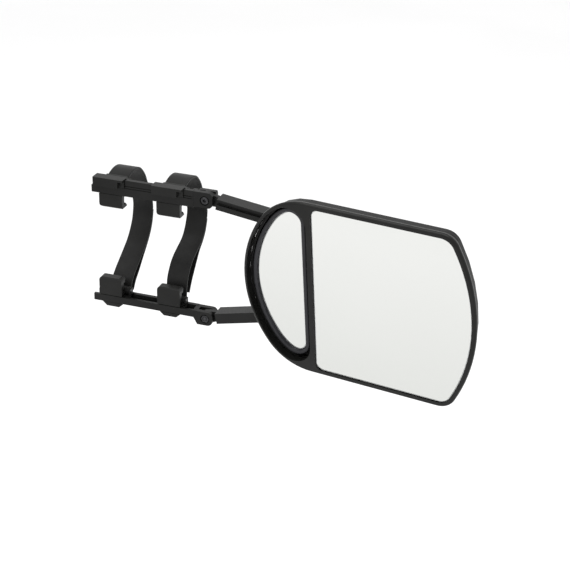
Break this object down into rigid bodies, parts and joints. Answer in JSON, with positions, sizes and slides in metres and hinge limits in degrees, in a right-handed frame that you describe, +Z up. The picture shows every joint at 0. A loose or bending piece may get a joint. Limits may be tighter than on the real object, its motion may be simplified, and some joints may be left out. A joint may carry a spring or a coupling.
{
  "type": "towing mirror",
  "caption": "Clip-on towing mirror: two clamp rails with sliding hooks and rubber straps, two arms, and a two-pane mirror head on a ball stud.",
  "frame": {"origin": "on the flat back face of the upper rail's rear wall, midway between its two hooks", "axes": "+X along the rails towards the mirror head, -Y the way the glass faces, +Z up"},
  "size_m": [0.4403, 0.1648, 0.2011],
  "materials": {
    "rail_plastic": "satin black moulded nylon",
    "hook_plastic": "satin black moulded nylon",
    "arm_plastic": "satin black moulded nylon",
    "strap_rubber": "matt black rubber",
    "housing_plastic": "fine-grained black plastic",
    "bezel_plastic": "satin black plastic",
    "carrier_plastic": "smooth dark grey plastic",
    "liner_plastic": "dull grey plastic",
    "mirror_glass": "silvered glass",
    "black_steel": "black oxide steel"
  },
  "bodies": {
    "upper_rail": {"upper_rail": "rail_plastic", "upper_arm_pivot_screw": "black_steel", "upper_arm_pivot_nut": "black_steel"},
    "lower_rail": {"lower_rail": "rail_plastic", "lower_arm_pivot_screw": "black_steel", "lower_arm_pivot_nut": "black_steel"},
    "upper_arm": {"upper_arm": "arm_plastic"},
    "lower_arm": {"lower_arm": "arm_plastic"},
    "head_bracket": {"head_bracket": "arm_plastic", "bracket_upper_pivot_screw": "black_steel", "bracket_upper_pivot_nut": "black_steel", "bracket_lower_pivot_screw": "black_steel", "bracket_lower_pivot_nut": "black_steel", "ball_stud": "black_steel", "ball_stud_nut": "black_steel"},
    "head_ball_seat": {"head_ball_seat": "liner_plastic"},
    "mirror_head": {"rear_housing": "housing_plastic", "front_bezel": "bezel_plastic", "main_glass": "mirror_glass", "main_glass_backing": "liner_plastic", "socket_cap": "housing_plastic", "socket_cap_screw_1": "black_steel", "socket_cap_screw_2": "black_steel", "socket_cap_screw_3": "black_steel", "socket_cap_screw_4": "black_steel", "blind_spot_ball_stud": "black_steel"},
    "blind_spot_ball_seat": {"blind_spot_ball_seat": "liner_plastic"},
    "blind_spot_mirror": {"blind_spot_carrier": "carrier_plastic", "blind_spot_glass": "mirror_glass"},
    "upper_hook_1": {"upper_slider_1": "hook_plastic", "upper_jaw_1": "hook_plastic", "upper_strap_pin_1": "black_steel", "strap_1": "strap_rubber"},
    "lower_hook_1": {"lower_slider_1": "hook_plastic", "lower_jaw_1": "hook_plastic", "lower_strap_pin_1": "black_steel"},
    "upper_hook_2": {"upper_slider_2": "hook_plastic", "upper_jaw_2": "hook_plastic", "upper_strap_pin_2": "black_steel", "strap_2": "strap_rubber"},
    "lower_hook_2": {"lower_slider_2": "hook_plastic", "lower_jaw_2": "hook_plastic", "lower_strap_pin_2": "black_steel"}
  },
  "joints": [
    {"name": "arm_spread", "type": "hinge", "parent": "upper_rail", "child": "upper_arm", "pos_m": [0.07245, -0.0175, 0.0039], "axis": [0, 1, 0], "range_deg": [-4, 8]},
    {"name": "bracket_level", "type": "hinge", "parent": "upper_arm", "child": "head_bracket", "pos_m": [0.22092, -0.0175, -0.01749], "axis": [0, 1, 0], "range_deg": [-8, 4]},
    {"name": "lower_rail_reach", "type": "slide", "parent": "upper_rail", "child": "lower_rail", "axis": [0, 0, -1], "range_m": [-0.021, 0.0415]},
    {"name": "lower_arm_spread", "type": "hinge", "parent": "lower_rail", "child": "lower_arm", "pos_m": [0.07245, -0.0175, -0.1351], "axis": [0, 1, 0], "range_deg": [-8, 4]},
    {"name": "upper_hook_1_slide", "type": "slide", "parent": "upper_rail", "child": "upper_hook_1", "axis": [1, 0, 0], "range_m": [-0.001, 0.014]},
    {"name": "lower_hook_1_reach", "type": "slide", "parent": "upper_hook_1", "child": "lower_hook_1", "axis": [0, 0, -1], "range_m": [-0.021, 0.0415], "deforming": ["strap_1"]},
    {"name": "upper_hook_2_slide", "type": "slide", "parent": "upper_rail", "child": "upper_hook_2", "axis": [1, 0, 0], "range_m": [-0.014, 0.0035]},
    {"name": "lower_hook_2_reach", "type": "slide", "parent": "upper_hook_2", "child": "lower_hook_2", "axis": [0, 0, -1], "range_m": [-0.021, 0.0415], "deforming": ["strap_2"]},
    {"name": "head_pan", "type": "hinge", "parent": "head_bracket", "child": "head_ball_seat", "pos_m": [0.26005, -0.0449, -0.0505], "axis": [-0.0206, -0.1411, 0.9898], "range_deg": [-3, 12]},
    {"name": "head_tilt", "type": "hinge", "parent": "head_ball_seat", "child": "mirror_head", "pos_m": [0.26005, -0.0449, -0.0505], "axis": [0.9895, -0.1444, 0], "range_deg": [-7, 4]},
    {"name": "blind_spot_pan", "type": "hinge", "parent": "mirror_head", "child": "blind_spot_ball_seat", "pos_m": [0.17296, -0.0427, -0.052], "axis": [-0.0206, -0.1411, 0.9898], "range_deg": [-2.5, 3.5]},
    {"name": "blind_spot_tilt", "type": "hinge", "parent": "blind_spot_ball_seat", "child": "blind_spot_mirror", "pos_m": [0.17296, -0.0427, -0.052], "axis": [0.9895, -0.1444, 0], "range_deg": [-2, 2]}
  ],
  "couplings": [
    {"joint": "bracket_level", "follows": "arm_spread", "ratio": -1},
    {"joint": "lower_rail_reach", "follows": "arm_spread", "m_per_rad": 0.29485},
    {"joint": "lower_arm_spread", "follows": "arm_spread", "ratio": -1},
    {"joint": "lower_hook_1_reach", "follows": "arm_spread", "m_per_rad": 0.29485},
    {"joint": "lower_hook_2_reach", "follows": "arm_spread", "m_per_rad": 0.29485}
  ]
}
